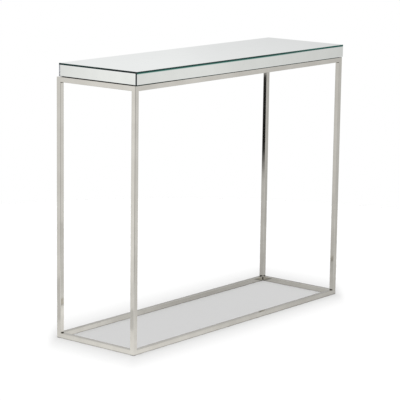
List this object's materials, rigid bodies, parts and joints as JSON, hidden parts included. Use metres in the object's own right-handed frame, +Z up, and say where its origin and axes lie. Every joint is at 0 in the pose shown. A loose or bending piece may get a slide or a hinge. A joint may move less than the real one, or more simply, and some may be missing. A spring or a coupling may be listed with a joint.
{
  "type": "console table",
  "caption": "Console table: a mirrored glass box top on an open frame of slim square polished steel tube, its straight legs joined by a ring of rails at floor level.",
  "frame": {"origin": "on the floor, under the middle of the table's overall box", "axes": "+Z up, +X along the table towards its right end, +Y across it towards its back; the two long sides look alike, and so do the two short ones"},
  "size_m": [1.0026, 0.305, 0.82],
  "materials": {
    "polished_steel": "stainless tube polished bright, with a slightly warm grey tone",
    "mirror_glass": "clear silvered glass with ground edges, which look dark green end on",
    "glide_plastic": "moulded black, slightly textured",
    "black_rubber": "matt black",
    "foam_tape": "white closed-cell foam",
    "fibreboard": "bare sanded fibreboard",
    "black_board": "hardboard with a black painted face",
    "plated_steel": "bright zinc plating",
    "insert_brass": "plain machined brass"
  },
  "bodies": {
    "root": {"leg_front_left": "polished_steel", "leg_front_right": "polished_steel", "leg_back_left": "polished_steel", "leg_back_right": "polished_steel", "leg_cap_front_left": "polished_steel", "leg_cap_front_right": "polished_steel", "leg_cap_back_left": "polished_steel", "leg_cap_back_right": "polished_steel", "floor_glide_front_left": "glide_plastic", "floor_glide_front_right": "glide_plastic", "floor_glide_back_left": "glide_plastic", "floor_glide_back_right": "glide_plastic", "bottom_rail_front": "polished_steel", "bottom_rail_back": "polished_steel", "bottom_rail_left": "polished_steel", "bottom_rail_right": "polished_steel", "top_rail_front": "polished_steel", "top_rail_back": "polished_steel", "top_rail_left": "polished_steel", "top_rail_right": "polished_steel", "mount_tab_front_left": "polished_steel", "mount_tab_front_right": "polished_steel", "mount_tab_back_left": "polished_steel", "mount_tab_back_right": "polished_steel", "mount_tab_left": "polished_steel", "mount_tab_right": "polished_steel", "cushion_strip_front": "black_rubber", "cushion_strip_back": "black_rubber", "cushion_strip_left": "black_rubber", "cushion_strip_right": "black_rubber", "mirror_pane_front": "mirror_glass", "mirror_pane_back": "mirror_glass", "mirror_pane_left": "mirror_glass", "mirror_pane_right": "mirror_glass", "mirror_pane_top": "mirror_glass", "top_tapes": "foam_tape", "edge_tape_front": "foam_tape", "edge_tape_back": "foam_tape", "edge_tape_left": "foam_tape", "edge_tape_right": "foam_tape", "top_board": "fibreboard", "apron_front": "fibreboard", "apron_back": "fibreboard", "apron_left": "fibreboard", "apron_right": "fibreboard", "cross_brace_1": "fibreboard", "cross_brace_2": "fibreboard", "cross_brace_3": "fibreboard", "base_board": "black_board", "top_screws": "plated_steel", "top_washers": "plated_steel", "wood_screws": "plated_steel", "spacer_washers": "black_rubber", "threaded_inserts": "insert_brass"}
  },
  "joints": []
}
